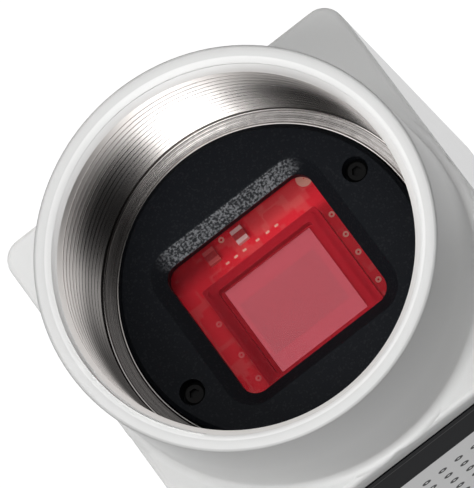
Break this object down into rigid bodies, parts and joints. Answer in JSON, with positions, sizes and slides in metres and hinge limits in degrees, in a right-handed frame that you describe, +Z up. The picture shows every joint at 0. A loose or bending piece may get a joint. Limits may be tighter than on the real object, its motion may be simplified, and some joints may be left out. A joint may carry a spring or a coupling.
{
  "type": "machine vision camera",
  "caption": "Cube-type industrial camera with a bare threaded lens mount, filter window, image sensor, network jack and round input/output connector.",
  "frame": {"origin": "middle of the overall length and width, on the base face the camera stands on", "axes": "-Y points out of the lens mount along the optical axis, +Y to the connectors, +Z up through the label face, X across"},
  "size_m": [0.029, 0.0604, 0.029],
  "materials": {
    "front_casting": "fine bead-blasted cast aluminium, satin",
    "sleeve_metal": "satin extruded aluminium",
    "plate_metal": "satin cast aluminium",
    "seal_rubber": "matt black elastomer",
    "label_foil": "silver foil with a plain black band",
    "black_moulding": "fine-grained matt black moulding",
    "filter_coating": "coated optical glass, faintly red",
    "clear_glass": "thin clear cover glass",
    "sensor_ceramic": "dark red-brown ceramic",
    "sensor_silicon": "pink-red silicon sheen",
    "red_laminate": "red solder mask on glass fibre laminate",
    "green_laminate": "green solder mask on glass fibre laminate",
    "chip_plastic": "black epoxy",
    "chip_ceramic": "brown ceramic with tinned ends",
    "coil_ferrite": "dark ferrite",
    "capacitor_can": "bare aluminium can",
    "screw_steel": "nickel-plated steel",
    "black_steel": "blackened steel",
    "pillar_brass": "turned brass",
    "connector_plastic": "black glass-filled plastic",
    "heat_pad": "soft grey-blue gap pad",
    "jack_steel": "nickel-plated sheet",
    "contact_gold": "gold-plated spring wire",
    "connector_nickel": "matt nickel",
    "light_pipe": "clear plastic",
    "led_plastic": "white LED body"
  },
  "bodies": {
    "root": {"front_housing": "front_casting", "housing_seal": "seal_rubber", "housing_sleeve": "sleeve_metal", "nameplate": "label_foil", "rear_plate": "plate_metal", "tie_screws": "screw_steel", "filter_frame": "black_moulding", "filter_glass": "filter_coating", "filter_frame_screws": "black_steel", "sensor_package": "sensor_ceramic", "sensor_die": "sensor_silicon", "sensor_cover_glass": "clear_glass", "sensor_seal": "seal_rubber", "sensor_board": "red_laminate", "sensor_board_chips": "chip_ceramic", "sensor_board_screws": "screw_steel", "sensor_link_plug": "connector_plastic", "processor_link_socket": "connector_plastic", "processor_board": "green_laminate", "processor_chip": "chip_plastic", "processor_heat_pad": "heat_pad", "memory_chips": "chip_plastic", "network_transformer": "chip_plastic", "board_header": "connector_plastic", "board_pillars": "pillar_brass", "power_board": "green_laminate", "power_coils": "coil_ferrite", "power_capacitors": "capacitor_can", "status_led": "led_plastic", "status_light_pipe": "light_pipe", "jack_shield": "jack_steel", "jack_body": "connector_plastic", "jack_contacts": "contact_gold", "io_connector_shell": "connector_nickel", "io_connector_insulator": "connector_plastic", "io_connector_pins": "contact_gold", "io_connector_nut": "connector_nickel"}
  },
  "joints": []
}
